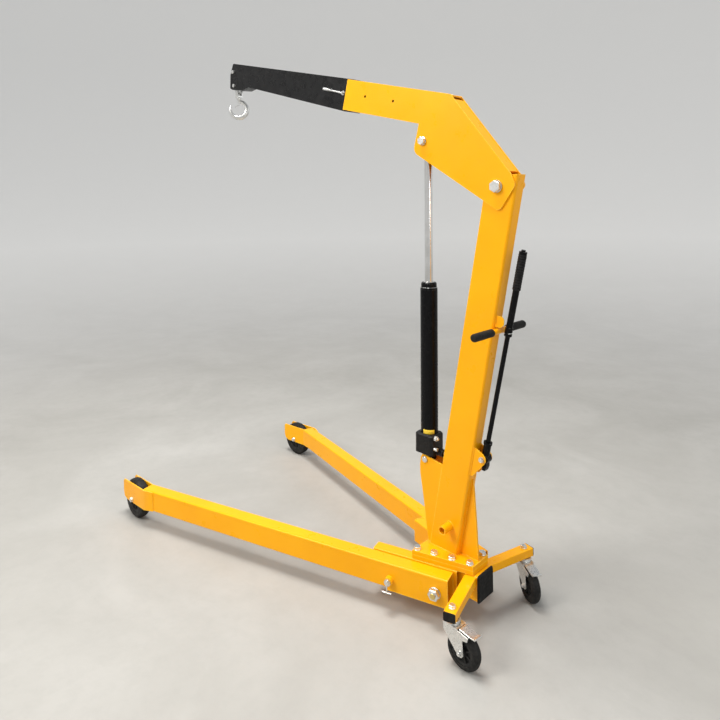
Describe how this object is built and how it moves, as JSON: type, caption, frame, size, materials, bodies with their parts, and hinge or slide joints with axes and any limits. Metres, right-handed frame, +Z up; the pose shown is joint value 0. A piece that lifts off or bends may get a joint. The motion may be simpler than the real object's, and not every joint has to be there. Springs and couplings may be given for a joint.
{
  "type": "folding engine hoist crane",
  "caption": "Folding wheeled workshop crane with splayed legs, leaning mast, hydraulic ram, goose-neck boom, telescopic jib, swivel hook and pump lever.",
  "frame": {"origin": "on the floor, under the centre of the crane's bounding box", "axes": "+X forward towards the hook, +Y to the crane's left, +Z up"},
  "size_m": [1.8571, 1.081, 2.1957],
  "materials": {
    "yellow_paint": "gloss powder coat",
    "black_paint": "satin",
    "zinc": "bright zinc plate",
    "chrome": "polished",
    "cast_black": "painted",
    "tyre_black": "matt",
    "wheel_black": "moulded",
    "cap_black": "moulded",
    "grip_black": "matt"
  },
  "bodies": {
    "base": {"chassis_beam": "yellow_paint", "chassis_arms": "yellow_paint", "chassis_plate": "yellow_paint", "caster_arms": "yellow_paint", "end_caps": "cap_black", "mast_flange": "yellow_paint", "mast_tube": "yellow_paint", "ram_cheeks": "yellow_paint", "mast_gusset": "yellow_paint", "tow_tube": "yellow_paint", "lever_ears": "yellow_paint", "lever_bolt": "zinc", "handlebar": "yellow_paint", "handlebar_grips": "grip_black", "boom_bolt": "zinc", "ram_pin": "zinc", "leg_bolts": "zinc", "flange_bolts": "zinc", "caster_bolts": "zinc"},
    "leg_l": {"leg_left": "yellow_paint", "fork_left": "yellow_paint", "front_axle_left": "zinc"},
    "leg_r": {"leg_right": "yellow_paint", "fork_right": "yellow_paint", "front_axle_right": "zinc"},
    "front_wheel_l": {"front_tyre_left": "tyre_black", "front_hub_left": "wheel_black"},
    "front_wheel_r": {"front_tyre_right": "tyre_black", "front_hub_right": "wheel_black"},
    "lock_l": {"lock_pin_left": "zinc"},
    "lock_r": {"lock_pin_right": "zinc"},
    "caster_l": {"caster_fork_left": "zinc", "caster_axle_left": "zinc"},
    "caster_r": {"caster_fork_right": "zinc", "caster_axle_right": "zinc"},
    "caster_wheel_l": {"caster_tyre_left": "tyre_black", "caster_hub_left": "wheel_black"},
    "caster_wheel_r": {"caster_tyre_right": "tyre_black", "caster_hub_right": "wheel_black"},
    "pedal_l": {"brake_pedal_left": "zinc"},
    "pedal_r": {"brake_pedal_right": "zinc"},
    "boom": {"boom_plates": "yellow_paint", "boom_webs": "yellow_paint", "ram_top_bolt": "zinc"},
    "jib": {"jib": "black_paint", "jib_bolts": "zinc"},
    "jib_pin": {"jib_pin": "zinc"},
    "hook_link": {"hook_link": "zinc"},
    "hook": {"hook": "zinc"},
    "hook_latch": {"hook_latch": "zinc"},
    "ram": {"ram_cylinder": "black_paint", "ram_gland": "black_paint", "pump_block": "cast_black", "pump_fittings": "zinc"},
    "rod": {"ram_rod": "chrome", "rod_eye": "black_paint"},
    "push_rod": {"push_rod": "zinc"},
    "lever": {"lever_socket": "black_paint", "lever_rod": "black_paint", "lever_tube": "black_paint"}
  },
  "joints": [
    {"name": "boom_pivot", "type": "hinge", "parent": "base", "child": "boom", "pos_m": [-0.84, 0, 1.511], "axis": [0, -1, 0], "range_deg": [-36, 1]},
    {"name": "ram_tilt", "type": "hinge", "parent": "base", "child": "ram", "pos_m": [-0.52, 0, 0.512], "axis": [0, 1, 0], "range_deg": [-0.1, 3.2]},
    {"name": "rod_slide", "type": "slide", "parent": "ram", "child": "rod", "axis": [-0.0153, 0, 0.9999], "range_m": [-0.2156, 0.0061]},
    {"name": "jib_slide", "type": "slide", "parent": "boom", "child": "jib", "axis": [0.965, 0, 0.2622], "range_m": [0, 0.3]},
    {"name": "jib_pin_pull", "type": "slide", "parent": "jib", "child": "jib_pin", "axis": [0, 1, 0], "range_m": [0, 0.07]},
    {"name": "hook_swing", "type": "hinge", "parent": "jib", "child": "hook_link", "pos_m": [0.655, 0, 2.085], "axis": [0, 1, 0], "range_deg": [-25, 25]},
    {"name": "hook_swivel", "type": "hinge", "parent": "hook_link", "child": "hook", "pos_m": [0.655, 0, 2.032], "axis": [0, 0, 1], "continuous": true},
    {"name": "hook_latch_hinge", "type": "hinge", "parent": "hook", "child": "hook_latch", "pos_m": [0.65322, -0.00212, 1.99135], "axis": [0.766, -0.6428, 0], "range_deg": [-45, 0], "stiffness_Nm_per_rad": 0.02, "springref_deg": 17.19},
    {"name": "leg_fold_left", "type": "hinge", "parent": "base", "child": "leg_l", "pos_m": [-0.632, 0.112, 0.116], "axis": [0.2689, -0.9632, 0], "range_deg": [0, 88]},
    {"name": "leg_fold_right", "type": "hinge", "parent": "base", "child": "leg_r", "pos_m": [-0.632, -0.112, 0.116], "axis": [-0.2689, -0.9632, 0], "range_deg": [0, 88]},
    {"name": "lock_pull_left", "type": "slide", "parent": "leg_l", "child": "lock_l", "axis": [-0.2689, 0.9632, 0], "range_m": [0, 0.045]},
    {"name": "lock_pull_right", "type": "slide", "parent": "leg_r", "child": "lock_r", "axis": [-0.2689, -0.9632, 0], "range_m": [0, 0.045]},
    {"name": "front_wheel_left_spin", "type": "hinge", "parent": "leg_l", "child": "front_wheel_l", "pos_m": [0.84, 0.5, 0.09], "axis": [0, 1, 0], "continuous": true},
    {"name": "front_wheel_right_spin", "type": "hinge", "parent": "leg_r", "child": "front_wheel_r", "pos_m": [0.84, -0.5, 0.09], "axis": [0, 1, 0], "continuous": true},
    {"name": "caster_left_swivel", "type": "hinge", "parent": "base", "child": "caster_l", "pos_m": [-0.775, 0.23, 0.131], "axis": [0, 0, 1], "continuous": true},
    {"name": "caster_right_swivel", "type": "hinge", "parent": "base", "child": "caster_r", "pos_m": [-0.775, -0.23, 0.131], "axis": [0, 0, 1], "continuous": true},
    {"name": "caster_left_spin", "type": "hinge", "parent": "caster_l", "child": "caster_wheel_l", "pos_m": [-0.81993, 0.23259, 0.06], "axis": [-0.0576, -0.9983, 0], "continuous": true},
    {"name": "caster_right_spin", "type": "hinge", "parent": "caster_r", "child": "caster_wheel_r", "pos_m": [-0.812, -0.20438, 0.06], "axis": [-0.5693, -0.8221, 0], "continuous": true},
    {"name": "brake_left", "type": "hinge", "parent": "caster_l", "child": "pedal_l", "pos_m": [-0.81693, 0.23242, 0.13], "axis": [-0.0576, -0.9983, 0], "range_deg": [0, 8]},
    {"name": "brake_right", "type": "hinge", "parent": "caster_r", "child": "pedal_r", "pos_m": [-0.80953, -0.20609, 0.13], "axis": [-0.5693, -0.8221, 0], "range_deg": [0, 8]},
    {"name": "lever_stroke", "type": "hinge", "parent": "base", "child": "lever", "pos_m": [-0.76, 0, 0.576], "axis": [0, -1, 0], "range_deg": [0, 35]},
    {"name": "push_rod_slide", "type": "slide", "parent": "base", "child": "push_rod", "axis": [1, 0, 0], "range_m": [0, 0.0276]}
  ],
  "couplings": [
    {"joint": "ram_tilt", "follows": "boom_pivot", "ratio": -0.088},
    {"joint": "rod_slide", "follows": "boom_pivot", "m_per_rad": 0.343},
    {"joint": "push_rod_slide", "follows": "lever_stroke", "m_per_rad": 0.045}
  ]
}
